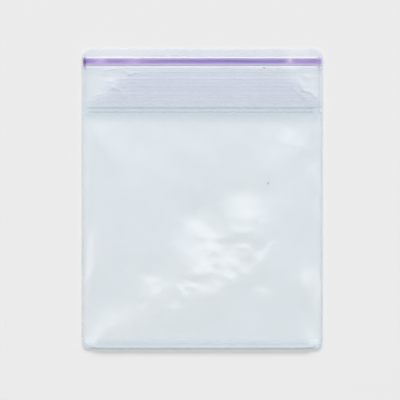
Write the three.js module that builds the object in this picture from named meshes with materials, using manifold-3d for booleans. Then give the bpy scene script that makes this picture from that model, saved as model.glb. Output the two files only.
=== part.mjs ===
// A resealable food bag, lying shut and flat with its front panel up and its mouth towards +Y.
// One length of clear film is folded across the bottom and welded down both sides. Two press-to-close
// closures run from weld to weld under the mouth: a coloured one, and a clear one below the grip band.
// Millimetres, +Z up, origin on the underside below the middle of the bag.

import * as THREE from 'three';
import { mergeVertices } from 'three/addons/utils/BufferGeometryUtils.js';
import Module from 'manifold-3d';

const { lerp, smoothstep, degToRad } = THREE.MathUtils;

// Outline of the flat bag
const BAG_WIDTH = 168;
const BAG_LENGTH = 211;
const MOUTH_CORNER_RADIUS = 6.3;
const BOTTOM_CORNER_RADIUS = 4.6;

// Heights of the front panel over the table, from the mouth to the bottom fold
const LIP_HEIGHT = 0.9;
const BAND_HEIGHT = 1.7;
const CROWN_HEIGHT = 4.2;
const FOLD_HEIGHT = 2.6;
const PANEL_THICKNESS = 0.3;

// Distances down from the mouth
const COLOURED_CLOSURE_AT = 9.5;
const CLEAR_CLOSURE_AT = 43.4;
const BAND_START = 15.5;
const CROWN_AT = 128;

// The side welds, and how far in from them the bag reaches its full height
const WELD_MARGIN = 2.4;
const WELD_HEIGHT = 0.7;
const HEADER_SHOULDER = 5;
const BODY_SHOULDER = 30;
const FOLD_SHOULDER = 16;

// The two lips part in a slit that stops at the closure and at the side welds
const SLIT_DEPTH = 5;
const SLIT_GAP = 0.3;
const SLIT_END_MARGIN = 6;

// Fine embossed lines of the lips, and grip ribs of the band
const LIP_LINE = { count: 3, first: 1.6, pitch: 1.4, width: 0.8, rise: 0.12 };
const GRIP_RIB = { count: 7, first: BAND_START + 2.2, pitch: 3.1, width: 1.3, rise: 0.22 };

// Closures: distance down from the mouth, width along the bag, height when pressed shut, height of the
// underside over the table, thickness of the channel's legs, and reach of its hooks
const COLOURED_CLOSURE = {
  at: COLOURED_CLOSURE_AT, width: 5.2, height: 2.0, lift: 0.4, leg: 0.6, hook: 0.7,
};
const CLEAR_CLOSURE = {
  at: CLEAR_CLOSURE_AT, width: 4.2, height: 1.7, lift: 0.45, leg: 0.5, hook: 0.55,
};
const CLOSURE_CLEARANCE = 0.1;
const RIDGE_SHOULDER = 1.2;

// Levels inside a shut closure, as shares of its height
const HOOK_BOTTOM = 0.275;
const HOOK_TOP = 0.475;
const WEB_BOTTOM = 0.8;
const RIB_BASE_TOP = 0.175;
const BARB_BOTTOM = 0.55;
const BARB_TOP = 0.725;

// Play beside the rib's barbs inside the channel's legs, and beside its stem between the hooks
const BARB_PLAY = 0.3;
const STEM_PLAY = 0.25;

// Broad folds that the trapped air leaves in the front panel: place from the bag's middle line and
// from the mouth, heading of the fold, its length and width, and how far it rises or sinks
const PANEL_FOLDS = [
  { x: 23, down: 163, heading: 30, length: 52, width: 16, rise: -0.7 },
  { x: 14, down: 121, heading: -63, length: 30, width: 14, rise: -0.6 },
  { x: -4, down: 134, heading: 90, length: 50, width: 30, rise: 0.6 },
  { x: -66, down: 190, heading: 50, length: 44, width: 16, rise: 0.5 },
  { x: 70, down: 163, heading: 90, length: 34, width: 14, rise: -0.5 },
  { x: 60, down: 66, heading: 50, length: 34, width: 14, rise: 0.4 },
  { x: -62, down: 70, heading: -50, length: 34, width: 14, rise: 0.4 },
];

// Steps across the bag, down its body and round the bottom fold
const STEPS_ACROSS = 30;
const STEPS_DOWN_BODY = 22;
const STEPS_ROUND_FOLD = 6;
const STEPS_ROUND_CORNER = 8;

const FOLD_RADIUS = FOLD_HEIGHT / 2;
const FOLD_AT = BAG_LENGTH - FOLD_RADIUS;
const BODY_AT = CLEAR_CLOSURE_AT + CLEAR_CLOSURE.width / 2 + 2 * RIDGE_SHOULDER;

const manifold = await Module();
manifold.setup();

function materialOf(color, roughness, opacity) {
  const clear = opacity < 1;
  return new THREE.MeshStandardMaterial({ color, roughness, metalness: 0, transparent: clear, opacity });
}

function toSolid(geometry) {
  const bare = geometry.clone();
  bare.deleteAttribute('normal');
  bare.deleteAttribute('uv');
  const merged = mergeVertices(bare);
  return new manifold.Manifold(new manifold.Mesh({
    numProp: 3,
    vertProperties: new Float32Array(merged.getAttribute('position').array),
    triVerts: new Uint32Array(merged.getIndex().array),
  }));
}

function toGeometry(solid) {
  const mesh = solid.getMesh();
  const geometry = new THREE.BufferGeometry();
  geometry.setAttribute('position', new THREE.BufferAttribute(mesh.vertProperties, 3));
  geometry.setIndex(new THREE.BufferAttribute(mesh.triVerts, 1));
  geometry.computeVertexNormals();
  return geometry;
}

// 1 on a bump's crest and 0 past its shoulders
function bump(distance, halfCrest, shoulder) {
  return 1 - smoothstep(Math.abs(distance), halfCrest, halfCrest + shoulder);
}

function linesOf({ count, first, pitch }) {
  return Array.from({ length: count }, (_, i) => first + i * pitch);
}

// Top of the tunnel's roof over one closure
function ridgeTop(closure) {
  return closure.lift + closure.height + CLOSURE_CLEARANCE + PANEL_THICKNESS;
}

function ridgeHalfCrest(closure) {
  return closure.width / 2 + 2 * CLOSURE_CLEARANCE;
}

// Height of the front panel on the bag's middle line: lips, band, then the body's long low crown
function panelLine(down) {
  const header = lerp(LIP_HEIGHT, BAND_HEIGHT, smoothstep(down, COLOURED_CLOSURE_AT, BAND_START));
  const crowned = lerp(header, CROWN_HEIGHT, smoothstep(down, BODY_AT, CROWN_AT));
  return lerp(crowned, FOLD_HEIGHT, smoothstep(down, CROWN_AT, FOLD_AT));
}

function withRidges(down) {
  return [COLOURED_CLOSURE, CLEAR_CLOSURE].reduce((height, closure) => {
    const ridge = bump(down - closure.at, ridgeHalfCrest(closure), RIDGE_SHOULDER);
    return lerp(height, ridgeTop(closure), ridge);
  }, panelLine(down));
}

// How far the side welds press the bag flat at a place: 1 in its middle, less towards the welds
function pressing(x, down) {
  const inBody = smoothstep(down, BODY_AT, CROWN_AT);
  const nearFold = smoothstep(down, CROWN_AT, BAG_LENGTH);
  const shoulder = lerp(lerp(HEADER_SHOULDER, BODY_SHOULDER, inBody), FOLD_SHOULDER, nearFold);
  const fromEdge = BAG_WIDTH / 2 - Math.abs(x);
  const full = smoothstep(fromEdge, WELD_MARGIN, WELD_MARGIN + shoulder);
  const flat = Math.min(1, WELD_HEIGHT / withRidges(down));
  return lerp(flat, 1, full);
}

// Sum of the broad folds, each a round-ended hill or hollow along its heading
function foldRise(x, down) {
  return PANEL_FOLDS.reduce((sum, fold) => {
    const heading = degToRad(fold.heading);
    const right = x - fold.x;
    const up = fold.down - down;
    const along = (right * Math.cos(heading) + up * Math.sin(heading)) / (fold.length / 2);
    const across = (up * Math.cos(heading) - right * Math.sin(heading)) / (fold.width / 2);
    return sum + fold.rise * Math.exp(-(along ** 2) - across ** 2);
  }, 0);
}

// Carries a section, drawn as distance along the bag and height, from one side of the bag to the
// other, with its steps closer together towards the welds, and presses it flat there
function carryAcross(section, rise = () => 0) {
  const settings = { depth: 1, steps: STEPS_ACROSS, bevelEnabled: false };
  const geometry = new THREE.ExtrudeGeometry(section, settings);
  const position = geometry.getAttribute('position');
  for (let i = 0; i < position.count; i += 1) {
    const y = position.getX(i);
    const height = position.getY(i);
    const x = -(BAG_WIDTH / 2) * Math.cos(position.getZ(i) * Math.PI);
    const down = BAG_LENGTH / 2 - y;
    const press = pressing(x, down);
    position.setXYZ(i, x, y, height * press + rise(x, down, height) * press);
  }
  geometry.deleteAttribute('normal');
  geometry.deleteAttribute('uv');
  const merged = mergeVertices(geometry);
  merged.computeVertexNormals();
  return merged;
}

// Stations from the mouth to the fold: three for each fine line, four for each closure's ridge
function stationsDownBag() {
  const stations = [0];
  for (const line of [LIP_LINE, GRIP_RIB]) {
    for (const at of linesOf(line)) {
      stations.push(at - line.width / 2, at, at + line.width / 2);
    }
  }
  for (const closure of [COLOURED_CLOSURE, CLEAR_CLOSURE]) {
    const crest = ridgeHalfCrest(closure);
    for (const side of [-1, 1]) {
      stations.push(closure.at + side * crest);
      stations.push(closure.at + side * (crest + RIDGE_SHOULDER / 2));
      stations.push(closure.at + side * (crest + RIDGE_SHOULDER));
    }
  }
  for (let i = 0; i <= STEPS_DOWN_BODY; i += 1) {
    stations.push(lerp(BODY_AT, FOLD_AT, i / STEPS_DOWN_BODY));
  }
  return stations.sort((a, b) => a - b);
}

function fineLineRise(down) {
  return [LIP_LINE, GRIP_RIB].reduce((sum, line) => {
    const crest = linesOf(line).some((at) => Math.abs(down - at) < line.width / 4);
    return crest ? sum + line.rise : sum;
  }, 0);
}

function tunnelOf(closure) {
  const half = ridgeHalfCrest(closure);
  const y = BAG_LENGTH / 2 - closure.at;
  const floor = closure.lift - CLOSURE_CLEARANCE;
  const roof = closure.lift + closure.height + CLOSURE_CLEARANCE;
  return new THREE.Path([
    new THREE.Vector2(y - half, floor),
    new THREE.Vector2(y - half, roof),
    new THREE.Vector2(y + half, roof),
    new THREE.Vector2(y + half, floor),
  ]);
}

// Section of the film envelope down its length, with a tunnel for each closure
function pouchSection() {
  const top = stationsDownBag().map((down) => (
    new THREE.Vector2(BAG_LENGTH / 2 - down, withRidges(down) + fineLineRise(down))
  ));
  const section = new THREE.Shape();
  section.moveTo(BAG_LENGTH / 2, 0);
  for (const point of top) {
    section.lineTo(point.x, point.y);
  }
  for (let i = 1; i <= STEPS_ROUND_FOLD; i += 1) {
    const turn = (Math.PI * i) / STEPS_ROUND_FOLD;
    const y = FOLD_RADIUS - BAG_LENGTH / 2 - FOLD_RADIUS * Math.sin(turn);
    section.lineTo(y, FOLD_RADIUS * (1 + Math.cos(turn)));
  }
  section.holes.push(tunnelOf(COLOURED_CLOSURE), tunnelOf(CLEAR_CLOSURE));
  return section;
}

function bagOutline() {
  const right = BAG_WIDTH / 2;
  const top = BAG_LENGTH / 2;
  const outline = new THREE.Shape();
  const corner = (x, y, radius, from) => outline.absarc(x, y, radius, from, from + Math.PI / 2, false);
  corner(right - MOUTH_CORNER_RADIUS, top - MOUTH_CORNER_RADIUS, MOUTH_CORNER_RADIUS, 0);
  corner(MOUTH_CORNER_RADIUS - right, top - MOUTH_CORNER_RADIUS, MOUTH_CORNER_RADIUS, Math.PI / 2);
  corner(BOTTOM_CORNER_RADIUS - right, BOTTOM_CORNER_RADIUS - top, BOTTOM_CORNER_RADIUS, Math.PI);
  corner(right - BOTTOM_CORNER_RADIUS, BOTTOM_CORNER_RADIUS - top, BOTTOM_CORNER_RADIUS, -Math.PI / 2);
  outline.closePath();
  return outline;
}

function outlinePrism() {
  const depth = 3 * CROWN_HEIGHT;
  const settings = { depth, bevelEnabled: false, curveSegments: STEPS_ROUND_CORNER };
  const prism = new THREE.ExtrudeGeometry(bagOutline(), settings);
  return prism.translate(0, 0, -CROWN_HEIGHT);
}

function mouthSlit() {
  const reach = 2 * SLIT_DEPTH;
  const slit = new THREE.BoxGeometry(BAG_WIDTH - 2 * SLIT_END_MARGIN, reach, SLIT_GAP);
  return slit.translate(0, BAG_LENGTH / 2, LIP_HEIGHT / 2);
}

// The film envelope: folded bottom, welded sides, two lips, and the front panel's folds of air
function filmPouch() {
  const onFrontPanel = (x, down, height) => {
    const inBody = smoothstep(down, BODY_AT, BODY_AT + BODY_SHOULDER / 2);
    const beforeFold = 1 - smoothstep(down, FOLD_AT - FOLD_SHOULDER / 2, FOLD_AT);
    return height > PANEL_THICKNESS ? foldRise(x, down) * inBody * beforeFold : 0;
  };
  const envelope = toSolid(carryAcross(pouchSection(), onFrontPanel));
  const cut = envelope.intersect(toSolid(outlinePrism())).subtract(toSolid(mouthSlit()));
  return toGeometry(cut);
}

// Channel of a closure: a web under the front panel with two legs that hook inwards
function channelSection({ at, width, height, lift, leg, hook }) {
  const y = BAG_LENGTH / 2 - at;
  const outer = width / 2;
  const inner = outer - leg;
  const half = [
    [outer, height],
    [outer, HOOK_BOTTOM * height],
    [inner - hook, HOOK_BOTTOM * height],
    [inner, HOOK_TOP * height],
    [inner, WEB_BOTTOM * height],
  ];
  const mirrored = half.map(([across, up]) => [-across, up]).reverse();
  return new THREE.Shape([...mirrored, ...half].map(([across, up]) => (
    new THREE.Vector2(y + across, lift + up)
  )));
}

// Rib of a closure: a strip on the back panel with a stem and a barbed head
function ribSection({ at, width, height, lift, leg, hook }) {
  const y = BAG_LENGTH / 2 - at;
  const outer = width / 2;
  const barb = outer - leg - BARB_PLAY;
  const stem = barb - hook - STEM_PLAY;
  const half = [
    [outer, 0],
    [outer, RIB_BASE_TOP * height],
    [stem, RIB_BASE_TOP * height],
    [stem, BARB_BOTTOM * height],
    [barb, BARB_BOTTOM * height],
    [stem, BARB_TOP * height],
  ];
  const mirrored = half.map(([across, up]) => [-across, up]).reverse();
  return new THREE.Shape([...half, ...mirrored].map(([across, up]) => (
    new THREE.Vector2(y + across, lift + up)
  )));
}

function part(name, geometry, material) {
  const mesh = new THREE.Mesh(geometry, material);
  mesh.name = name;
  return mesh;
}

const film = () => materialOf(0xdbe3ea, 0.22, 0.45);
const colouredStrip = () => materialOf(0x917cc3, 0.35, 1);
const clearStrip = () => materialOf(0xc6cfd8, 0.3, 0.6);

const bag = new THREE.Group();
bag.add(part('film_pouch', filmPouch(), film()));
bag.add(part('closure_channel', carryAcross(channelSection(COLOURED_CLOSURE)), colouredStrip()));
bag.add(part('closure_rib', carryAcross(ribSection(COLOURED_CLOSURE)), colouredStrip()));
bag.add(part('lower_channel', carryAcross(channelSection(CLEAR_CLOSURE)), clearStrip()));
bag.add(part('lower_rib', carryAcross(ribSection(CLEAR_CLOSURE)), clearStrip()));

export default bag;
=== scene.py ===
"""A clear, shut, resealable food bag lies flat with its front panel up and its mouth towards +Y.
Metres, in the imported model's frame: +X to the right, +Z up, the table at zero."""

import bmesh
import bpy
import numpy as np
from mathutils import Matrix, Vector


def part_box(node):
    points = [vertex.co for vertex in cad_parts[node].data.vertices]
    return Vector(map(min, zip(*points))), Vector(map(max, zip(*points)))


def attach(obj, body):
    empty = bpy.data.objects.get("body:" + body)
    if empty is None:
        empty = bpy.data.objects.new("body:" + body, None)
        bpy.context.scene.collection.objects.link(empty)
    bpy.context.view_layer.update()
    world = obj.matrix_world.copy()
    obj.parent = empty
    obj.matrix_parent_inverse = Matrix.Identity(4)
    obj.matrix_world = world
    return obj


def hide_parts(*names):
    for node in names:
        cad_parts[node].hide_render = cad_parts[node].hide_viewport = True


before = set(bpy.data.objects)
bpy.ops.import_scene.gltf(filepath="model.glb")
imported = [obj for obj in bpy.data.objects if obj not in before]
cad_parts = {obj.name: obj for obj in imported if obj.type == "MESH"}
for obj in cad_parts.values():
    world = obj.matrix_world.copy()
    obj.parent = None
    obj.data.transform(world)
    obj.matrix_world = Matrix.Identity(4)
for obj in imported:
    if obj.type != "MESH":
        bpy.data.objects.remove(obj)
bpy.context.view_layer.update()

# Pouch. One length of clear, faintly blue polyethylene film 0.06 mm thick runs from the front lip,
# over both closures and the trapped air, round the bottom fold and back to the rear lip under it.
# It was blown as a tube, slit, folded across the bottom and welded down both sides.
MM = 0.001
pouch_low, pouch_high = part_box("film_pouch")
HALF_WIDTH = pouch_high.x
MOUTH_Y = pouch_high.y
BAG_LENGTH = pouch_high.y - pouch_low.y
MOUTH_CORNER = 6.3 * MM
BOTTOM_CORNER = 4.6 * MM
BODY_START = 46.5 * MM
CREST_AT = BAG_LENGTH - 1.8 * MM
CREST_HEIGHT = 2.9 * MM
NOSE_HEIGHT = 2.2 * MM
TUCK = 1.6 * MM
REAR_HEIGHT = 0.1 * MM
FILM_GAP = 0.12 * MM

# The side welds: their height and width, how far in from them each part of the bag has risen, and
# the lengths over which one part's shoulder gives way to the next
WELD_HEIGHT = 1.3 * MM
WELD_WIDTH = 0.6 * MM
HEADER_SHOULDER = 2.5 * MM
BODY_SHOULDER = 32 * MM
BODY_SHOULDER_RUN = 50 * MM
FOLD_SHOULDER = 9 * MM
FOLD_SHOULDER_RUN = 30 * MM
REAR_SHOULDER = 7 * MM

# The front panel on the bag's middle line, as millimetres down from the mouth and millimetres high:
# the lips, the ridge over the coloured closure, the grip band, the lower closure and the body's air
FRONT_LINE = (
    (0.0, 1.92), (4.2, 1.8), (6.4, 1.8), (8.2, 2.13), (12.1, 2.2), (12.9, 2.05), (14.1, 2.2),
    (40.4, 2.2), (45.6, 2.2), (53.0, 2.0), (112.0, 2.8), (CREST_AT / MM, CREST_HEIGHT / MM),
    (BAG_LENGTH / MM, CREST_HEIGHT / MM),
)


def ease(value, start, end):
    """0 up to start, 1 from end, and 3t^2 - 2t^3 between them, t being the share of the way."""
    t = np.clip((value - start) / (end - start), 0, 1)
    return t * t * (3 - 2 * t)


def blend(first, second, share):
    """The straight mix of two values: first where share is 0 and second where it is 1."""
    return first + (second - first) * share


def bell(value, middle, half):
    """1 at the middle and falling off on both sides as exp(-((value - middle) / half)^2)."""
    return np.exp(-(((value - middle) / half) ** 2))


def half_width(down):
    """Half the bag's width, less what a quarter circle of radius r takes off each corner:
    r - sqrt(r^2 - d^2), where d is how far into the corner's height the row lies."""
    into_mouth = np.clip(MOUTH_CORNER - down, 0, MOUTH_CORNER)
    into_bottom = np.clip(down - (BAG_LENGTH - BOTTOM_CORNER), 0, BOTTOM_CORNER)
    mouth_cut = MOUTH_CORNER - np.sqrt(MOUTH_CORNER**2 - into_mouth**2)
    bottom_cut = BOTTOM_CORNER - np.sqrt(BOTTOM_CORNER**2 - into_bottom**2)
    return HALF_WIDTH - mouth_cut - bottom_cut


def middle_line(down):
    """The front panel's height on the bag's middle line: an eased step from each stop of the line to
    the next, less a quarter ellipse from the crest to the fold's nose."""
    at, heights = np.array(FRONT_LINE).T * MM
    span = np.clip(np.searchsorted(at, down, side="right") - 1, 0, len(at) - 2)
    line = blend(heights[span], heights[span + 1], ease(down, at[span], at[span + 1]))
    round_fold = np.clip((down - CREST_AT) / (BAG_LENGTH - CREST_AT), 0, 1)
    return line - (CREST_HEIGHT - NOSE_HEIGHT) * (1 - np.sqrt(1 - round_fold**2))


def pressed(x, down, height, at_weld=WELD_HEIGHT):
    """What the side welds leave of a height. It is whole in the middle of the bag and falls to its
    height at the weld over an eased shoulder, short across the header and long across the body."""
    in_body = ease(down, BODY_START, BODY_START + BODY_SHOULDER_RUN)
    near_fold = ease(down, BAG_LENGTH - FOLD_SHOULDER_RUN, BAG_LENGTH)
    shoulder = blend(blend(HEADER_SHOULDER, BODY_SHOULDER, in_body), FOLD_SHOULDER, near_fold)
    inset = half_width(down) - np.abs(x)
    return blend(at_weld, height, ease(inset, WELD_WIDTH, WELD_WIDTH + shoulder))


def rear_height(x, down, line):
    """The rear panel's height: flat on the table, and lifted to the side welds over the last of
    its width on either side."""
    inset = half_width(down) - np.abs(x)
    return blend(WELD_HEIGHT, line, ease(inset, WELD_WIDTH, WELD_WIDTH + REAR_SHOULDER))


# Where the trapped air holds the front panel at a slant, in millimetres and degrees: the place right
# of the middle and down from the mouth, the length and width of the slanted patch, its heading, the
# way it faces (0: the mouth, 90: right), its lean at its middle, and how sharply it ends
SLANTS = (
    (30, 109, 22, 18, 0, 0, 4.2, 1.2), (33, 118, 24, 12, 0, 0, 4.6, 1),
    (31, 128, 18, 10, 0, 0, 5.2, 1), (0, 123, 20, 17, 90, 0, 4.8, 1.2),
    (-11, 124, 16, 10, 90, -20, 3.5, 1), (5, 134, 18, 8, -70, 10, 5, 1.2),
    (0, 143, 18, 18, 90, 0, 6, 1.2), (2, 154, 14, 17, 90, 0, 6.5, 1.2),
    (14.5, 143, 20, 3.5, 90, 110, 4, 2), (-12, 136, 22, 12, 90, 0, 3.4, 1),
    (46.6, 138.6, 10, 4, 75, -15, 8, 1.5), (16.7, 122.9, 16, 5, -63, -117, 5, 2),
    (20.3, 134.4, 21, 5, 8, 180, 8, 2), (39.2, 136.2, 9, 5, 0, 180, 6, 2),
    (29.4, 138.9, 15, 4.5, -4, 0, 7, 2), (21, 147.5, 18, 13, 0, 0, 6, 1.5),
    (19.6, 158.6, 12, 3.6, -72, 20, 8, 2), (29.4, 155.5, 8, 3.6, -78, 20, 8, 2),
    (41, 145.4, 18, 5, 66, -15, 8, 2), (34, 149, 9, 9, 0, 180, 4, 1.5),
    (26.6, 167, 36, 8, 27, 153, 8, 2), (6.9, 175.6, 11, 3, 8, 172, 7, 2),
    (-4.3, 160.4, 15, 3, 8, 172, 8, 2), (-13.4, 168.5, 13, 4, 88, 20, 8, 2),
    (-7.5, 166.4, 8, 4.8, -50, 15, 8, 2), (8.7, 163, 18, 5, 92, 15, 7, 2),
    (3, 168.6, 20, 11, 0, 0, 6.5, 1.5), (-18, 181.1, 9, 5, 0, 0, 5.5, 1.2),
    (-35.2, 166.4, 19, 13, 80, 0, 5, 1.2), (-50, 184, 42, 18, 32, 0, 3.8, 1.2),
    (-42.6, 178, 4, 3, 90, 180, 7, 1.5), (-65.4, 187.4, 24, 6, 93, 0, 4.5, 1.5),
    (-70, 197, 24, 12, 40, 0, 2, 1.2), (-73, 170, 14, 11, 0, 180, 3, 1),
    (-79.3, 148, 44, 6.5, 83, -90, 11, 2), (-80.5, 90, 60, 5, 90, -90, 6, 1),
    (58, 60, 17, 4, -76, 0, 2.7, 1.5), (69, 67, 26, 3, -34, 0, 1.8, 1.5),
    (75, 75.5, 9, 6, -38, 180, 2.5, 2), (64.5, 73.5, 12, 4, -45, 0, 2, 1.5),
    (52, 73, 12, 6, -60, 0, 1.4, 1.5), (81.3, 96, 20, 4, 90, 90, 10, 1.5),
    (81.3, 112, 10, 4, 90, 90, 10, 1.5), (81.3, 120, 5, 4, 0, 90, 12, 1),
    (79.4, 167.5, 20, 10, 90, 90, 13, 2), (80.5, 203, 12, 8, 90, 90, 1.5, 1),
    (42, 168.5, 15, 7, -60, 0, 5, 1.5), (31.8, 188, 24, 6, 95, 0, 5, 1.5),
    (-70, 54, 14, 9, 0, 0, 1.8, 1),
)
RELIEF_CELL = 0.7 * MM
FITS = 10
FIT_STEP = 0.8
MOST_GAIN = 3.5
MOST_PHASE = 6.28
WANDER_SEED = 5
WANDER_WAVES = 8
WANDER_LENGTHS = (7, 24)
WANDER = 0.55 * MM


def wandering(x, down, seed):
    """A shift that gives the patches their uneven outlines: a sum of sines of random heading, length
    and phase."""
    random = np.random.default_rng(seed)
    shortest, longest = WANDER_LENGTHS
    waves = random.uniform((0, shortest, 0), (np.pi, longest, MOST_PHASE), (WANDER_WAVES, 3))
    shift = 0.0
    for heading, length, phase in waves:
        along = x * np.cos(heading) + down * np.sin(heading)
        shift = shift + WANDER * np.sin(along * 2 * np.pi / (length * MM) + phase)
    return shift


def patch_windows(x, down, patches, sharpness):
    """How much each patch counts at every point: exp(-(u^2 + v^2)^sharpness), u and v being the
    distances along and across its heading over half its length and width. A patch starts with its
    place, length, width and heading."""
    at_x, at_down, length, width, heading = np.array(patches, float).T[:5, :, None, None]
    turn = np.radians(heading)
    right = x + wandering(x, down, WANDER_SEED) - at_x * MM
    up = at_down * MM - down - wandering(x, down, WANDER_SEED + 1)
    u = (right * np.cos(turn) + up * np.sin(turn)) / (length * MM / 2)
    v = (up * np.cos(turn) - right * np.sin(turn)) / (width * MM / 2)
    return np.exp(-((u**2 + v**2) ** sharpness))


def patch_sum(x, down, patches):
    """The sum of soft round patches, each times the number that its row ends with."""
    amounts = np.array(patches, float)[:, -1]
    return np.tensordot(amounts, patch_windows(x, down, patches, 1), 1)


def solved_relief():
    """A grid of heights whose slopes come closest to the sum of the leaning patches. It solves
    Poisson's equation for the divergence of those slopes by sine transforms, with the bag's edge
    held at zero. As neighbours share their slopes, the patches are made stronger a few times, until
    the middle of each leans as it should."""
    columns, rows = round(2 * HALF_WIDTH / RELIEF_CELL), round(BAG_LENGTH / RELIEF_CELL)
    across = np.linspace(-HALF_WIDTH, HALF_WIDTH, columns + 2)
    below = np.linspace(0, BAG_LENGTH, rows + 2)
    step_x, step_down = across[1] - across[0], below[1] - below[0]
    at_x, at_down, _, _, _, faces, lean, sharpness = np.array(SLANTS, float).T
    windows = patch_windows(across[None], below[:, None], SLANTS, sharpness[:, None, None])
    to_right, to_mouth = np.sin(np.radians(faces)), np.cos(np.radians(faces))
    wave_x = np.pi * np.arange(1, columns + 1) / (columns + 1)
    wave_down = np.pi * np.arange(1, rows + 1) / (rows + 1)
    sines_x = np.sin(np.outer(wave_x, np.arange(1, columns + 1)))
    sines_down = np.sin(np.outer(wave_down, np.arange(1, rows + 1)))
    stiffness_x = (2 - 2 * np.cos(wave_x)) / step_x**2
    stiffness_down = (2 - 2 * np.cos(wave_down)) / step_down**2
    stiffness = (stiffness_x[None] + stiffness_down[:, None]) * (columns + 1) * (rows + 1) / 4
    row = np.clip(np.round(at_down * MM / step_down).astype(int), 1, rows)
    column = np.clip(np.round((at_x * MM + HALF_WIDTH) / step_x).astype(int), 1, columns)
    height = np.zeros((rows + 2, columns + 2))
    wanted = np.tan(np.radians(lean))
    strength = wanted
    for _ in range(FITS):
        slope_x = np.tensordot(-strength * to_right, windows, 1)
        slope_down = np.tensordot(strength * to_mouth, windows, 1)
        divergence = np.gradient(slope_x, step_x, axis=1) + np.gradient(slope_down, step_down, axis=0)
        waves = -(sines_down @ divergence[1:-1, 1:-1] @ sines_x.T) / stiffness
        height[1:-1, 1:-1] = sines_down.T @ waves @ sines_x
        reached = np.gradient(height, step_down, axis=0)[row, column] * to_mouth
        reached -= np.gradient(height, step_x, axis=1)[row, column] * to_right
        strength = np.clip(strength + FIT_STEP * (wanted - reached), 0, MOST_GAIN * wanted)
    return height


RELIEF = solved_relief()
JUST_UNDER_ONE = 0.99999


def film_relief(x, down):
    """The relief at any point, read from its grid by straight mixes between four neighbours."""
    last_row, last_column = RELIEF.shape[0] - 1, RELIEF.shape[1] - 1
    row = np.clip(down / BAG_LENGTH, 0, JUST_UNDER_ONE) * last_row
    column = np.clip((x + HALF_WIDTH) / (2 * HALF_WIDTH), 0, JUST_UNDER_ONE) * last_column
    i, j = row.astype(int), column.astype(int)
    upper = blend(RELIEF[i, j], RELIEF[i, j + 1], column - j)
    lower = blend(RELIEF[i + 1, j], RELIEF[i + 1, j + 1], column - j)
    return blend(upper, lower, row - i)


CREASE_SEED = 11
CREASE_WAVES = 14
CREASE_LENGTHS = (14, 45)
CREASE_TILT = 0.004


def gentle_creases(x, down):
    """Shallow waves left by handling: a sum of sines of random heading, length and phase, each as
    high as gives it the same slope."""
    random = np.random.default_rng(CREASE_SEED)
    shortest, longest = CREASE_LENGTHS
    waves = random.uniform((0, shortest, 0), (np.pi, longest, MOST_PHASE), (CREASE_WAVES, 3))
    height = np.zeros_like(x)
    for heading, length, phase in waves:
        pace = 2 * np.pi / (length * MM)
        along = x * np.cos(heading) + down * np.sin(heading)
        height += CREASE_TILT / pace * np.sin(along * pace + phase)
    return height


# Fine embossed lines: the distance down from the mouth and the rise of each, in millimetres
LIP_LINES = ((2.1, 0.02), (3.6, 0.015))
GRIP_LINES = (
    (17.2, 0.018), (19.0, 0.014), (21.9, 0.02), (24.0, 0.01), (26.8, 0.016), (29.4, 0.008),
    (32.8, 0.024), (34.9, 0.018), (36.6, 0.018),
)
LINE_HALF = 0.5 * MM


def line_rise(down):
    """The sum of the embossed lines, each a bell-shaped rise across its middle."""
    rise = np.zeros_like(down)
    for at, height in LIP_LINES + GRIP_LINES:
        rise += height * MM * bell(down, at * MM, LINE_HALF)
    return rise


# Fine creases beside the welds of the grip band: the place, length, width and heading of each as
# above, and its rise in millimetres
FINE_CREASES = (
    (-69.6, 17.3, 6, 1.5, 0, 0.10), (-64.7, 17.6, 5, 1.5, 4, 0.08), (-49.2, 17.7, 12, 1.4, 0, 0.08),
    (-65.4, 23.7, 6, 1.4, 0, 0.08), (-73.4, 32.4, 8, 1.5, 6, 0.10), (-76, 35.2, 9, 1.6, 8, 0.12),
    (-62, 28.5, 22, 2.4, -39, 0.10), (69.4, 26, 10, 2.0, -55, 0.18), (74.3, 31, 6.5, 2.0, -34, 0.18),
    (79.6, 34.6, 8.5, 2.0, -34, 0.18), (75, 20, 12, 2.2, -20, 0.10), (70, 34, 18, 2.4, -48, 0.08),
)
# The lengths over which the film goes loose below the lower closure, and taut again before the crest
LOOSE_RUN = 6 * MM
TAUT_RUN = 5 * MM


def front_height(x, down):
    """The front panel's height: the middle line with its embossed lines and creases, pressed at the
    welds, plus the relief where the film is loose, and never nearer than a gap to the rear."""
    loose = ease(down, BODY_START, BODY_START + LOOSE_RUN) * (1 - ease(down, CREST_AT - TAUT_RUN, CREST_AT))
    line = middle_line(down) + line_rise(down) + patch_sum(x, down, FINE_CREASES) * MM
    still = pressed(x, down, line + gentle_creases(x, down) * loose)
    height = still + film_relief(x, down) * loose
    return np.maximum(height, rear_height(x, down, REAR_HEIGHT) + FILM_GAP)


def sheet_of(name, x, y, z):
    """A smooth mesh over a grid of points, or over several grids at once. Its faces point where the
    cross product of the rows' and the columns' directions does: up, where rows run away from the
    mouth and columns to the right."""
    mesh = bpy.data.meshes.new(name)
    index = np.arange(x.size).reshape(x.shape)
    above, below = index[..., :-1, :], index[..., 1:, :]
    corners = (above[..., :-1], below[..., :-1], below[..., 1:], above[..., 1:])
    faces = np.stack(corners, axis=-1).reshape(-1, 4)
    mesh.from_pydata(np.stack((x, y, z), axis=-1).reshape(-1, 3).tolist(), [], faces.tolist())
    mesh.polygons.foreach_set("use_smooth", np.ones(len(faces), bool))
    piece = bpy.data.objects.new(name, mesh)
    bpy.context.scene.collection.objects.link(piece)
    return piece


def mark(piece, name, values):
    """Stores one number for each point of a piece, for its material to read."""
    numbers = np.asarray(values, np.float32).ravel()
    piece.data.attributes.new(name, "FLOAT", "POINT").data.foreach_set("value", numbers)


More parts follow.
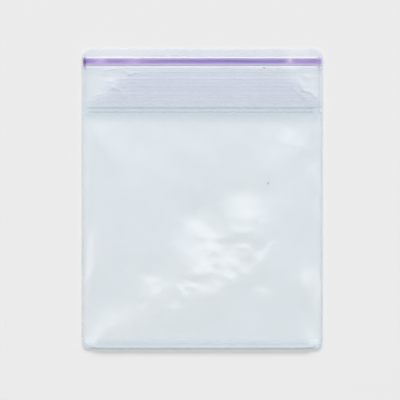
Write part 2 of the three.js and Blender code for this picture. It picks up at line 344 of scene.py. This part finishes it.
# The sheet's columns, the distance between its rows in each stretch, and its steps round each arc
FILM_COLUMNS = 224
HEADER_ROW = 0.36 * MM
HEADER_OVERRUN = 3 * MM
BODY_ROW = 0.8 * MM
REAR_ROW = 3.6 * MM
ARC_STEPS = 12
CORNER_STEPS = 6
arc = np.linspace(0, np.pi / 2, ARC_STEPS + 1)
mouth_rows = MOUTH_CORNER * (1 - np.cos(arc))
header_rows = np.arange(MOUTH_CORNER, BODY_START + HEADER_OVERRUN, HEADER_ROW)[1:]
body_rows = np.linspace(header_rows[-1], CREST_AT, round((CREST_AT - header_rows[-1]) / BODY_ROW))[1:]
fold_rows = CREST_AT + (BAG_LENGTH - CREST_AT) * np.sin(arc[1:])
tuck_rows = BAG_LENGTH - TUCK * np.sin(arc[1:])
corner_rows = BAG_LENGTH - TUCK - (BOTTOM_CORNER - TUCK) * np.linspace(0, 1, CORNER_STEPS + 1)[1:]
rear_count = round((corner_rows[-1] - MOUTH_CORNER) / REAR_ROW)
rear_rows = np.linspace(corner_rows[-1], MOUTH_CORNER, rear_count)[1:]
front_rows = np.concatenate((mouth_rows, header_rows, body_rows, fold_rows))
under_rows = np.concatenate((tuck_rows, corner_rows, rear_rows, mouth_rows[-2::-1]))
across_share = np.linspace(-1, 1, FILM_COLUMNS)

front_down = np.repeat(front_rows[:, None], FILM_COLUMNS, axis=1)
front_x = half_width(front_down) * across_share[None]
front_z = front_height(front_x, front_down)
under_down = np.repeat(under_rows[:, None], FILM_COLUMNS, axis=1)
under_x = half_width(under_down) * across_share[None]
under_line = np.full(len(under_rows), REAR_HEIGHT)
under_line[:ARC_STEPS] = REAR_HEIGHT + (NOSE_HEIGHT - REAR_HEIGHT) * (1 - np.sin(arc[1:]))
under_z = rear_height(under_x, under_down, under_line[:, None])
film_x = np.concatenate((front_x, under_x))
film_down = np.concatenate((front_down, under_down))
film_z = np.concatenate((front_z, under_z))
pouch = sheet_of("pouch", film_x, MOUTH_Y - film_down, film_z)

# How hazy the film is: at the lips, after each change down the header, given by where it starts and
# ends in millimetres from the mouth, and in the body, at the bottom fold and behind
LIP_HAZE = 0.08
HEADER_HAZES = ((6.8, 7.6, 0.09), (11.4, 15, 0.17), (39, 45, 0.25))
# From 45.5 to 52 mm the haze eases from the lower closure's to the body's; that extra haze adds painted
# shade to the film sloping down away from the lamps below the lower closure.
BODY_CHANGE = (45.5 * MM, 52 * MM)
BODY_HAZE = 0.165
REAR_TOP_HAZE = 0.1235
REAR_FOOT_HAZE = 0.06175
REAR_CHANGE = (60 * MM, 180 * MM)
FOLD_HAZE = 0.7
FOLD_CHANGE = (BAG_LENGTH - 8 * MM, BAG_LENGTH + 2 * MM)

# Painted highlights: patches where the front panel is made hazier and whiter to stand in for the
# lamps' glare on its slants: the place, length, width and heading of each patch as above, and its
# share of the highlight haze
PAINTED_HIGHLIGHT_HAZE = 0.065
PAINTED_HIGHLIGHTS = (
    (0, 141.8, 58, 30, 90, 0.7), (-1.5, 129, 20, 16, 0, 0.5), (28.7, 109.5, 28, 24, 0, 0.9),
    (32, 124, 20, 16, 0, 0.5), (26.6, 147.4, 32, 28, 0, 0.6), (2, 168.5, 28, 16, 0, 0.6),
    (-50.6, 187.4, 70, 22, 30, 0.5), (-35, 166.4, 20, 14, 60, 0.5), (77.6, 167.5, 20, 12, 90, 1.2),
    (33, 97, 20, 14, 0, 0.6), (-77.3, 146.7, 46, 8, 80, 0.8), (58.9, 60.4, 22, 9, -65, 0.6),
    (70, 67.4, 24, 8, -33, 0.6), (56, 90, 44, 36, 90, 0.25), (-70, 52.6, 16, 10, 0, 0.3),
    (-81, 83.6, 80, 6, 90, 0.4), (-67, 24, 30, 26, 60, 0.7), (76, 25, 26, 18, 110, 0.7),
)
haze = np.full_like(film_down, LIP_HAZE)
for change_start, change_end, next_haze in HEADER_HAZES:
    haze = blend(haze, next_haze, ease(film_down, change_start * MM, change_end * MM))
in_front = (np.arange(len(film_x)) < len(front_x))[:, None]
rear_haze = blend(REAR_TOP_HAZE, REAR_FOOT_HAZE, ease(film_down, *REAR_CHANGE))
haze = blend(haze, np.where(in_front, BODY_HAZE, rear_haze), ease(film_down, *BODY_CHANGE))
# The fold's mark makes the fold hazier and greyer: partly its doubled film, partly painted shade where the
# fold turns down away from the lamps.
doubled_and_shaded = ease(film_down, *FOLD_CHANGE)
haze = blend(haze, FOLD_HAZE, doubled_and_shaded)
# The stretch mark and the extra haze of these patches paint highlights: hazier, whiter film where the
# lamps' glare should fall on the slants.
stretched = (1 - np.exp(-patch_sum(film_x, film_down, PAINTED_HIGHLIGHTS))) * in_front
mark(pouch, "haze", haze + PAINTED_HIGHLIGHT_HAZE * stretched)
mark(pouch, "stretch", stretched)
mark(pouch, "doubled_and_shaded", doubled_and_shaded)


class Wire:
    """One socket of a material's node tree. Arithmetic on wires adds Math nodes to the tree."""

    def __init__(self, tree, socket=None):
        self.tree = tree
        self.socket = socket

    def node(self, kind, settings, inputs, output=0):
        """Adds a node, sets it up, fills its sockets with values or links, and gives an output."""
        made = self.tree.nodes.new(kind)
        for name, value in settings.items():
            setattr(made, name, value)
        for name, value in inputs.items():
            if isinstance(value, Wire):
                self.tree.links.new(value.socket, made.inputs[name])
            else:
                made.inputs[name].default_value = value
        return Wire(self.tree, made.outputs[output]) if len(made.outputs) else None

    def math(self, operation, *values):
        """A Math node on wires and numbers."""
        return self.node("ShaderNodeMath", {"operation": operation}, dict(enumerate(values)))

    def __add__(self, other):
        return self.math("ADD", self, other)

    def __mul__(self, other):
        return self.math("MULTIPLY", self, other)

    def __pow__(self, other):
        return self.math("POWER", self, other)

    __radd__ = __add__
    __rmul__ = __mul__

    def noise(self, scale, detail, stretch=(1, 1, 1)):
        """Fractal noise on object coordinates, with scale cells to the metre along each axis."""
        place = self.node("ShaderNodeTexCoord", {}, {}, "Object")
        stretched = self.node("ShaderNodeMapping", {}, {"Vector": place, "Scale": stretch})
        return self.node("ShaderNodeTexNoise", {}, {"Vector": stretched, "Scale": scale, "Detail": detail})

    def attribute(self, name):
        """The numbers that a piece's points are marked with."""
        return self.node("ShaderNodeAttribute", {"attribute_name": name}, {}, "Fac")

    def mixed(self, share, first, second):
        """The mix of two colours."""
        return self.node("ShaderNodeMix", {"data_type": "RGBA"}, {0: share, 6: first, 7: second}, 2)


def blank_tree(name):
    """A new material and the start of its empty node tree."""
    material = bpy.data.materials.new(name)
    material.use_nodes = True
    material.node_tree.nodes.clear()
    return material, Wire(material.node_tree)


def clear_finish(share, body, bump_height, bump_depth):
    """Makes a material see-through: the share scatters and shines as the body says, with a fine
    relief, and the rest of the light goes straight through."""
    relief = {"Strength": 1.0, "Distance": bump_depth, "Height": bump_height}
    bump = share.node("ShaderNodeBump", {}, relief)
    shining = share.node("ShaderNodeBsdfPrincipled", {}, {**body, "Normal": bump})
    through = share.node("ShaderNodeBsdfTransparent", {}, {})
    mixed = share.node("ShaderNodeMixShader", {}, {0: share, 1: through, 2: shining})
    share.node("ShaderNodeOutputMaterial", {}, {"Surface": mixed})


# Film's own blue, its paler clouds, the white of the painted light, and the grey of the fold, partly
# two layers seen together and partly painted shade where the fold turns away from the lamps.
# Noise scales are cells to the metre.
FILM_BLUE = (0.70, 0.87, 1.0, 1)
FILM_PALE = (0.76, 0.92, 1.0, 1)
PAINTED_LIGHT_WHITE = (0.97, 0.98, 1.0, 1)
FOLD_GREY_AND_SHADE = (0.79, 0.83, 0.86, 1)
CLOUDS = 55
DRAWN_LINES = 500
DRAWN_OUT = (1, 0.04, 1)
FILM_GRAIN = 900
GRAIN_SHARE = 0.6
FILM_BUMP = 0.01 * MM
LEAST_MOTTLING = 0.9
MOTTLING = 0.2
SLANT_SHARE = 0.25


def film_finish(name, colour, mottled):
    """Clear film. What scatters and shines is the haze mark times a mottling, plus a part that
    grows with the square of the view's slant. Fine lines run down it as it was drawn. It goes white
    with the stretch mark, which is painted light, and grey with the fold's mark, which is partly
    doubled film and partly painted shade."""
    material, start = blank_tree(name)
    clouds = start.noise(CLOUDS, 3)
    drawn_lines = start.noise(DRAWN_LINES, 2, DRAWN_OUT)
    slant = start.node("ShaderNodeLayerWeight", {}, {"Blend": 0.5}, "Facing")
    share = start.attribute("haze") * (LEAST_MOTTLING + MOTTLING * clouds) + SLANT_SHARE * slant**2
    tinted = start.mixed(clouds, colour, mottled)
    painted_light_mix = start.mixed(start.attribute("stretch"), tinted, PAINTED_LIGHT_WHITE)
    body = {
        "Base Color": start.mixed(start.attribute("doubled_and_shaded"), painted_light_mix, FOLD_GREY_AND_SHADE),
        "Roughness": 0.25,
        "IOR": 1.9,
        "Specular IOR Level": 0.9,
    }
    fine_relief = start.noise(FILM_GRAIN, 2) * GRAIN_SHARE + drawn_lines * (1 - GRAIN_SHARE)
    clear_finish(share, body, fine_relief, FILM_BUMP)
    return material


pouch.data.materials.append(film_finish("pouch_film", FILM_BLUE, FILM_PALE))
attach(pouch, "root")
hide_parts("film_pouch")

# Side welds. Both panels were melted together and cut off hot down each side, which leaves a fine
# uneven bead of film along the edge.
BEAD_RADIUS = 0.2 * MM
BEAD_INSET = 0.08 * MM
BEAD_END = 0.6 * MM
BEAD_STEPS = 520
BEAD_SIDES = 10
BEAD_SWELL = 0.16
BEAD_WAVES = ((2100, 1), (830, 2), (3700, 0))
END_TAPER = 12
SAME_POINT = 0.001 * MM
BEAD_HAZE = 0.85
BEAD_GREY = (0.72, 0.75, 0.77, 1)
BEAD_PALE = (0.84, 0.87, 0.90, 1)


def closed(piece):
    """Merges the points of a piece that fall together, which closes its seams and its poles."""
    shell = bmesh.new()
    shell.from_mesh(piece.data)
    bmesh.ops.remove_doubles(shell, verts=shell.verts, dist=SAME_POINT)
    shell.to_mesh(piece.data)
    shell.free()
    return piece


def weld_bead(name, side):
    """A tube along one side of the outline. Its radius swells by a sum of sines of the distance
    down the bag, each given by its pace to the metre and its shift from side to side, and shrinks
    to a point at each end."""
    down = np.linspace(BEAD_END, BAG_LENGTH - BEAD_END, BEAD_STEPS)
    centre_x = side * (half_width(down) - BEAD_INSET)
    swelling = sum(np.sin(down * pace + shift * side) for pace, shift in BEAD_WAVES)
    taper = np.sqrt(np.clip(END_TAPER * np.sin(np.linspace(0, np.pi, BEAD_STEPS)), 0, 1))
    radius = BEAD_RADIUS * (1 + BEAD_SWELL * swelling) * taper
    turn = np.linspace(2 * np.pi, 0, BEAD_SIDES + 1)[None]
    x = centre_x[:, None] + radius[:, None] * np.cos(turn)
    z = WELD_HEIGHT + FILM_GAP / 2 + radius[:, None] * np.sin(turn)
    y = np.repeat((MOUTH_Y - down)[:, None], BEAD_SIDES + 1, axis=1)
    return closed(sheet_of(name, x, y, z))


for side, name in ((-1, "left_weld"), (1, "right_weld")):
    bead = weld_bead(name, side)
    mark(bead, "haze", np.full(len(bead.data.vertices), BEAD_HAZE))
    bead.data.materials.append(film_finish(name + "_film", BEAD_GREY, BEAD_PALE))
    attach(bead, "root")
    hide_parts("film_pouch")

# Film specks. Two dark grains of carbonised resin are caught in the front panel, one in the grip
# band and one in the body.
SPECK_PLACES = ((43.4 * MM, 14.2 * MM), (46.2 * MM, 94.8 * MM))
SPECK_HALF_WIDTH = 0.5 * MM
SPECK_HALF_LENGTH = 0.45 * MM
SPECK_HALF_HEIGHT = 0.07 * MM
SPECK_SIDES = 16
SPECK_ROWS = 8
SPECK_BROWN = (0.10, 0.09, 0.09, 1)
SPECK_ROUGHNESS = 0.3
GRIT = 9000
GRIT_ROUGHNESS = 0.4
GRIT_BUMP = 0.02 * MM
# Each grain is a flat ellipsoid: across it the half sizes times sine of the angle from its top, and
# up it the half height times cosine
speck_x, speck_down = np.array(SPECK_PLACES).T[:, :, None]
speck_z = front_height(speck_x, speck_down)
from_top = np.linspace(0, np.pi, SPECK_ROWS + 1)[None, :, None]
around = np.linspace(0, 2 * np.pi, SPECK_SIDES + 1)[None, None]
grain_x = speck_x[..., None] + SPECK_HALF_WIDTH * np.sin(from_top) * np.cos(around)
grain_y = MOUTH_Y - speck_down[..., None] + SPECK_HALF_LENGTH * np.sin(from_top) * np.sin(around)
grain_z = speck_z[..., None] + SPECK_HALF_HEIGHT * np.cos(from_top) * np.ones_like(around)
film_specks = closed(sheet_of("film_specks", grain_x, grain_y, grain_z))
speck_resin, start = blank_tree("speck_resin")
grit = start.noise(GRIT, 2)
grit_bump = start.node("ShaderNodeBump", {}, {"Distance": GRIT_BUMP, "Height": grit})
grain_roughness = SPECK_ROUGHNESS + GRIT_ROUGHNESS * grit
grain_body = {"Base Color": SPECK_BROWN, "Roughness": grain_roughness, "Normal": grit_bump}
resin = start.node("ShaderNodeBsdfPrincipled", {}, grain_body)
start.node("ShaderNodeOutputMaterial", {}, {"Surface": resin})
film_specks.data.materials.append(speck_resin)
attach(film_specks, "root")
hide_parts("film_pouch")

# Closure tapes. Each panel has a ribbed tape of faintly lilac polyethylene laminated to its inside,
# which carries the two closures and stiffens the grip band between them.
TAPE_TOP = 0.4 * MM
TAPE_BOTTOM = 40.6 * MM
TAPE_COLUMNS = 200
TAPE_ROWS = 118
TAPE_GAP = 0.09 * MM
TAPE_HAZE = 0.265
REAR_TAPE_SHARE = 0.8
LILAC = (0.53, 0.52, 0.67, 1)
LILAC_PALE = (0.63, 0.62, 0.75, 1)

# The tape's broad ribs: the distance down from the mouth and the half width of each, in millimetres,
# and how much hazier it is than the tape between them
# The rib at 5.6 mm, much hazier than the rest, is painted shade: the dark line just above the coloured
# closure's ridge, where shade falls.
TAPE_RIBS = (
    (2.2, 0.4, 0.6), (3.7, 0.4, 0.5), (5.6, 0.6, 3.4), (9.6, 1.2, -0.8), (16.1, 0.9, 0.14),
    (18.6, 1.3, -0.16), (21.8, 0.8, 0.16), (25.6, 1.8, 0.12), (30.5, 1.5, -0.08),
    (33.3, 0.7, -0.12), (34.7, 0.6, 0.14), (36.8, 3.2, -0.36),
)

# The lips' share of the tape's haze, less towards both sides, and where the band takes over from them
LIP_SHARE = 0.33
LIP_SIDE_SHARE = 0.099
LIP_LEFT_CHANGE = (-60 * MM, -15 * MM)
LIP_RIGHT_CHANGE = (54 * MM, 64 * MM)
LIP_END = (15.4 * MM, 17.4 * MM)

# The clear three-cornered facets at both ends of the band, where the tape keeps little of its haze:
# their slanting edge's place 30 mm down from the mouth, its softness and slope, and the share of the
# haze that is left in them
FACET_DOWN = 30 * MM
LEFT_FACET = -66.7 * MM
LEFT_FACET_EDGE = 8 * MM
RIGHT_FACET = 73 * MM
RIGHT_FACET_EDGE = 5 * MM
FACET_SLOPE = 1.2
FACET_SHARE = 0.1

# Painted light on the front tape: white, hazy lines along the coloured closure that paint its glints
# and lighten the shadows it casts, given by the distance down, the half width and the haze of each
# line, and where the lines start beside the left weld. Then painted highlights as soft patches beside
# the closure's ends, with place, length, width and heading as above and haze, and how white haze looks.
PAINTED_LIGHT_LINES = (
    (7.0, 0.4, 0.55), (11.5, 0.6, 0.1), (12.3, 0.5, 0.46), (13.3, 0.7, 0.33), (14.9, 0.9, 0.28),
)
PAINTED_LIGHT_START = (-84 * MM, -80.5 * MM)
PAINTED_HIGHLIGHT_PATCHES = ((-47, 17, 26, 9, 0, 0.06), (67, 17, 22, 11, -25, 0.13))
WHITENING = 2.6
MOST_WHITE = 0.9

tape_rows = np.linspace(TAPE_TOP, TAPE_BOTTOM, TAPE_ROWS)
tape_down = np.repeat(tape_rows[:, None], TAPE_COLUMNS, axis=1)
tape_x = (half_width(tape_down) - WELD_WIDTH) * np.linspace(-1, 1, TAPE_COLUMNS)[None]
facet_lean = (tape_down - FACET_DOWN) * FACET_SLOPE
left_fade = ease(tape_x - LEFT_FACET + facet_lean, -LEFT_FACET_EDGE, LEFT_FACET_EDGE)
right_fade = 1 - ease(tape_x - RIGHT_FACET - facet_lean, -RIGHT_FACET_EDGE, RIGHT_FACET_EDGE)
band_share = blend(FACET_SHARE, 1, left_fade * right_fade)
lip_share = blend(LIP_SIDE_SHARE, LIP_SHARE, ease(tape_x, *LIP_LEFT_CHANGE))
lip_share = blend(lip_share, LIP_SIDE_SHARE, ease(tape_x, *LIP_RIGHT_CHANGE))
tape_share = blend(lip_share, band_share, ease(tape_down, *LIP_END))
for rib_at, rib_half, hazier in TAPE_RIBS:
    tape_share *= 1 + hazier * bell(tape_down, rib_at * MM, rib_half * MM)
# The lines and patches below are painted light: glints and lit film drawn into the tape's haze and white.
painted_light = np.zeros_like(tape_x)
for line_at, line_half, line_haze in PAINTED_LIGHT_LINES:
    painted_light += line_haze * bell(tape_down, line_at * MM, line_half * MM)
painted_light *= ease(tape_x, *PAINTED_LIGHT_START)
painted_light += patch_sum(tape_x, tape_down, PAINTED_HIGHLIGHT_PATCHES)
under_front = front_height(tape_x, tape_down) - TAPE_GAP
over_rear = rear_height(tape_x, tape_down, REAR_HEIGHT) + TAPE_GAP
for name, height, haze_share, painted_light_share in (
    ("front_tape", under_front, 1.0, 1.0),
    ("rear_tape", over_rear, REAR_TAPE_SHARE, 0.0),
):
    tape = sheet_of(name, tape_x, MOUTH_Y - tape_down, height)
    mark(tape, "haze", TAPE_HAZE * haze_share * tape_share + painted_light_share * painted_light)
    mark(tape, "stretch", painted_light_share * np.minimum(WHITENING * painted_light, MOST_WHITE))
    tape.data.materials.append(film_finish(name + "_film", LILAC, LILAC_PALE))
    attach(tape, "root")
    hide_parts("film_pouch")

# Coloured closure. A purple channel on the front tape grips a purple rib on the rear tape, both
# extruded in one with their tapes. The side welds crush their ends flat and wide.

# The strips' stations and reach, where near their ends they widen, and the share of their height that
# the welds leave
STRIP_STATIONS = 260
STRIP_REACH = HALF_WIDTH - 0.5 * MM
CRUSH_START = 0.5 * MM
CRUSH_END = 4.5 * MM
CRUSHED_SHARE = 0.02

# The levels of the channel's and the rib's corners, as shares of the closure's height, and the play
# between the rib's head and the channel
HOOK_FOOT, HOOK_TOP, GROOVE_ROOF = 0.28, 0.48, 0.8
RIB_BASE, BARB_FOOT, BARB_TIP = 0.17, 0.56, 0.74
SIDE_PLAY = 0.3 * MM
HOOK_PLAY = 0.2 * MM


def smooth_profile(corners, rounds=2):
    """A closed outline with its corners cut: in each round every edge from a to b gives the points
    a quarter and three quarters along it."""
    points = np.array(corners)
    for _ in range(rounds):
        following = np.roll(points, -1, axis=0)
        quarter = blend(points, following, 0.25)
        three_quarters = blend(points, following, 0.75)
        points = np.stack((quarter, three_quarters), axis=1).reshape(-1, 2)
    return points


def mirrored(half):
    """A whole profile from the corners of its right half. The first and the last of them are joined
    to their mirror images across the middle line."""
    return half + [(-across, up) for across, up in reversed(half)]


def channel_profile(width, height, lift, leg, hook):
    """A web under the front panel with two legs whose hooks turn inwards."""
    outer, inner = width / 2, width / 2 - leg
    half = [
        (inner, GROOVE_ROOF), (inner, HOOK_TOP), (inner - hook, HOOK_FOOT), (outer, HOOK_FOOT),
        (outer, 1.0),
    ]
    return smooth_profile([(across, lift + up * height) for across, up in mirrored(half)])


def rib_profile(width, height, lift, leg, hook):
    """A strip on the rear panel with a stem and a barbed head inside the channel."""
    outer, barb = width / 2, width / 2 - leg - SIDE_PLAY
    stem = barb - hook - HOOK_PLAY
    half = [
        (outer, 0.0), (outer, RIB_BASE), (stem, RIB_BASE), (stem, BARB_FOOT), (barb, BARB_FOOT),
        (stem, BARB_TIP),
    ]
    return smooth_profile([(across, lift + up * height) for across, up in mirrored(half)])


def strip_of(name, profile, at, crush):
    """A profile of (across, up) carried from weld to weld and pressed there with the film, to a
    small share of its height. It widens by the share crush over its last millimetres, and a flat
    face closes each end."""
    stations = np.sin(np.linspace(-np.pi / 2, np.pi / 2, STRIP_STATIONS)) * STRIP_REACH
    crushed = 1 + crush * (1 - ease(STRIP_REACH - np.abs(stations), CRUSH_START, CRUSH_END))
    x = np.repeat(stations[:, None], len(profile), axis=1)
    down = at + profile[None, :, 0] * crushed[:, None]
    up = np.repeat(profile[None, :, 1], STRIP_STATIONS, axis=0)
    z = pressed(x, down, up, WELD_HEIGHT + CRUSHED_SHARE * up)
    mesh = bpy.data.meshes.new(name)
    index = np.arange(x.size).reshape(x.shape)
    following = np.roll(index, -1, axis=1)
    corners = (index[:-1], index[1:], following[1:], following[:-1])
    faces = np.stack(corners, axis=-1).reshape(-1, 4).tolist()
    faces += [index[0].tolist(), index[-1, ::-1].tolist()]
    mesh.from_pydata(np.stack((x, MOUTH_Y - down, z), axis=-1).reshape(-1, 3).tolist(), [], faces)
    mesh.polygons.foreach_set("use_smooth", np.arange(len(faces)) < len(faces) - 2)
    piece = bpy.data.objects.new(name, mesh)
    bpy.context.scene.collection.objects.link(piece)
    return piece, x, down


STREAKS = 600
STREAKED_OUT = (0.06, 1, 1)
STREAK_BUMP = 0.02 * MM
LEAST_STREAK = 0.75
STREAKING = 0.5


def strip_finish(name, dense, pale):
    """A strip of polyethylene: its colour goes from pale to dense with the depth mark, with cloudy
    streaks drawn out along it, and the haze mark says how much it scatters. On the coloured closure
    the depth mark is the purple, less where highlights are painted; on the clear one it is painted
    shade."""
    material, start = blank_tree(name)
    streaks = start.noise(STREAKS, 3, STREAKED_OUT)
    depth = start.attribute("depth") * (LEAST_STREAK + STREAKING * streaks)
    body = {
        "Base Color": start.mixed(depth, pale, dense),
        "Roughness": 0.3,
        "IOR": 1.5,
        "Specular IOR Level": 0.5,
    }
    clear_finish(start.attribute("haze"), body, streaks, STREAK_BUMP)
    return material


# The closure's middle line, and its width, height, lift off the table, leg thickness and hook
COLOURED_AT = 9.6 * MM
COLOURED = (5.5 * MM, 1.75 * MM, 0.2 * MM, 0.6 * MM, 0.7 * MM)
COLOURED_CRUSH = 0.25
PURPLE = (0.115, 0.0, 0.39, 1)
PURPLE_PALE = (0.70, 0.46, 0.90, 1)

# Where the halves grip each other and the purple is deep, and the flange below, hazy on the channel
CORE_TOP = (7.25 * MM, 8.3 * MM)
CORE_FOOT = (9.9 * MM, 12.0 * MM)
CORE_HAZE = 0.95
FLANGE_TOP = (9.0 * MM, 10.6 * MM)
FLANGE_HAZE = 0.06
CHANNEL_FLANGE_HAZE = 0.6

# Painted highlights on the purple, where the glare over the strip is painted by taking purple out: the
# place right of the middle, the half length, and how much of the purple is lost. Then the melted blob
# at the left end: its place right and down, and its half width and height.
PURPLE_GLARE = (
    (-71.5, 6, 0.8), (-48, 30, 0.3), (-48, 6.5, 0.6), (61.7, 2.8, 0.95), (68, 10, 0.35),
    (82.7, 2.2, 0.75),
)
BLOB_X, BLOB_DOWN = -82.1 * MM, 10.2 * MM
BLOB_HALF_WIDTH, BLOB_HALF_HEIGHT = 1.2 * MM, 3.0 * MM
for name, node, profile, flange_haze in (
    ("purple_channel", "closure_channel", channel_profile(*COLOURED), CHANNEL_FLANGE_HAZE),
    ("purple_rib", "closure_rib", rib_profile(*COLOURED), FLANGE_HAZE),
):
    strip, strip_x, strip_down = strip_of(name, profile, COLOURED_AT, COLOURED_CRUSH)
    core = ease(strip_down, *CORE_TOP) * (1 - ease(strip_down, *CORE_FOOT))
    # Painted highlight: purple is taken out of the core where glare falls on the strip.
    for glare_at, glare_half, paler in PURPLE_GLARE:
        core *= 1 - paler * bell(strip_x, glare_at * MM, glare_half * MM)
    blob_u = (strip_x - BLOB_X) / BLOB_HALF_WIDTH
    blob_v = (strip_down - BLOB_DOWN) / BLOB_HALF_HEIGHT
    core = np.maximum(core, np.exp(-((blob_u**2 + blob_v**2) ** 2)))
    flange = blend(FLANGE_HAZE, flange_haze, ease(strip_down, *FLANGE_TOP))
    mark(strip, "haze", blend(flange, CORE_HAZE, core))
    mark(strip, "depth", core)
    strip.data.materials.append(strip_finish(name + "_plastic", PURPLE, PURPLE_PALE))
    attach(strip, "root")
    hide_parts(node)

# Lower closure. The same pair of profiles in clear polyethylene, a little slimmer, at the foot of
# the grip band. Its two dark lines over the legs are painted shade: a smoky grey standing in for the
# dark that the clear legs refract and reflect.
CLEAR_AT = 43.5 * MM
CLEAR = (4.2 * MM, 1.7 * MM, 0.45 * MM, 0.5 * MM, 0.55 * MM)
CLEAR_CRUSH = 0.2
LEG_SHADE = (0.38, 0.44, 0.50, 1)
LEG_SHADE_PALE = (0.75, 0.80, 0.86, 1)

# The painted shade lines over the legs: the distance down from the mouth and the half width of each,
# in millimetres, and its strength. They fade towards both welds.
LEG_SHADE_LINES = ((41.6, 0.85, 1.7), (45.2, 0.9, 0.75))
LEFT_LEG_FADE = (-HALF_WIDTH, -77 * MM)
RIGHT_LEG_FADE = (76 * MM, 81 * MM)
RIGHT_LEG_LOSS = 0.6
WEB_SHARE = 0.1
for name, node, profile, leg_haze in (
    ("clear_channel", "lower_channel", channel_profile(*CLEAR), 0.15),
    ("clear_rib", "lower_rib", rib_profile(*CLEAR), 0.12),
):
    strip, strip_x, strip_down = strip_of(name, profile, CLEAR_AT, CLEAR_CRUSH)
    # leg is painted shade: the share of the smoky grey over each leg.
    leg = np.zeros_like(strip_down)
    for leg_at, leg_half, dark in LEG_SHADE_LINES:
        leg += dark * bell(strip_down, leg_at * MM, leg_half * MM)
    leg *= ease(strip_x, *LEFT_LEG_FADE) * (1 - RIGHT_LEG_LOSS * ease(strip_x, *RIGHT_LEG_FADE))
    mark(strip, "haze", leg_haze * (WEB_SHARE + leg))
    mark(strip, "depth", leg)
    strip.data.materials.append(strip_finish(name + "_plastic", LEG_SHADE, LEG_SHADE_PALE))
    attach(strip, "root")
    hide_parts(node)

# Table, light and camera. A pale matt table, one soft lamp past the mouth, one higher up, one on
# either side, and an even white room. The camera looks straight down, as the bag was photographed.
TABLE_HALF = 3.0
table_corners = [(-1, -1), (1, -1), (1, 1), (-1, 1)]
table_points = [(right * TABLE_HALF, back * TABLE_HALF, 0) for right, back in table_corners]
table_mesh = bpy.data.meshes.new("table")
table_mesh.from_pydata(table_points, [], [(0, 1, 2, 3)])
table = bpy.data.objects.new("table", table_mesh)
bpy.context.scene.collection.objects.link(table)

# The lamps are a little blue and the table a little warm, so that the table looks an even grey
DAYLIGHT = (0.98, 1.0, 1.03)
TABLE_GREY = (0.817, 0.802, 0.781, 1)
table_paint, start = blank_tree("table_paint")
matt = start.node("ShaderNodeBsdfDiffuse", {}, {"Color": TABLE_GREY})
start.node("ShaderNodeOutputMaterial", {}, {"Surface": matt})
table.data.materials.append(table_paint)

# Each lamp's degrees off the vertical and round to the right from the mouth, the degrees from its
# middle to its edges along and across, and its radiance. Its power is radiance * pi * area.
SOFT_BOXES = {
    "high_soft_box": (18.5, 0, 12, 15, 4.8),
    "low_soft_box": (60, -3, 10, 28, 8.4),
    "left_soft_box": (28, -90, 5.5, 15, 3.8),
    "right_soft_box": (28, 90, 5.5, 15, 3.8),
}
LAMP_DISTANCE = 25.0
for name, (from_vertical, side, half_along, half_across, radiance) in SOFT_BOXES.items():
    lamp = bpy.data.lights.new(name, "AREA")
    lamp.shape = "RECTANGLE"
    lamp.size = 2 * LAMP_DISTANCE * np.tan(np.radians(half_across))
    lamp.size_y = 2 * LAMP_DISTANCE * np.tan(np.radians(half_along))
    lamp.energy = radiance * np.pi * lamp.size * lamp.size_y
    lamp.color = DAYLIGHT
    tilt, turn = np.radians(from_vertical), -np.radians(side)
    soft_box = bpy.data.objects.new(name, lamp)
    soft_box.rotation_euler = (-tilt, 0, turn)
    soft_box.location = (
        -LAMP_DISTANCE * np.sin(tilt) * np.sin(turn),
        LAMP_DISTANCE * np.sin(tilt) * np.cos(turn),
        LAMP_DISTANCE * np.cos(tilt),
    )
    soft_box.visible_camera = False
    bpy.context.scene.collection.objects.link(soft_box)

ROOM_LIGHT = 0.1
BACKDROP = 0.831
world = bpy.data.worlds.new("room")
world.use_nodes = True
world.node_tree.nodes.clear()
start = Wire(world.node_tree)
seen = start.node("ShaderNodeLightPath", {}, {}, "Is Camera Ray")
brightness = ROOM_LIGHT + (BACKDROP - ROOM_LIGHT) * seen
room = start.node("ShaderNodeBackground", {}, {"Color": (1, 1, 1, 1), "Strength": brightness})
start.node("ShaderNodeOutputWorld", {}, {"Surface": room})
bpy.context.scene.world = world

PIXEL = 0.702 * MM
FRAME_PX = 400
BAG_MIDDLE_PX = (202.15, 198.25)
LENS_MM = 100
SENSOR_MM = 36
camera_data = bpy.data.cameras.new("camera")
camera_data.lens = LENS_MM
camera_data.sensor_width = SENSOR_MM
camera = bpy.data.objects.new("camera", camera_data)
aim_x = (FRAME_PX / 2 - BAG_MIDDLE_PX[0]) * PIXEL
aim_y = (BAG_MIDDLE_PX[1] - FRAME_PX / 2) * PIXEL
camera.location = (aim_x, aim_y, FRAME_PX * PIXEL * LENS_MM / SENSOR_MM)
bpy.context.scene.collection.objects.link(camera)
bpy.context.scene.camera = camera
bpy.context.scene.view_settings.view_transform = "Standard"
bpy.context.scene.cycles.transparent_max_bounces = 32
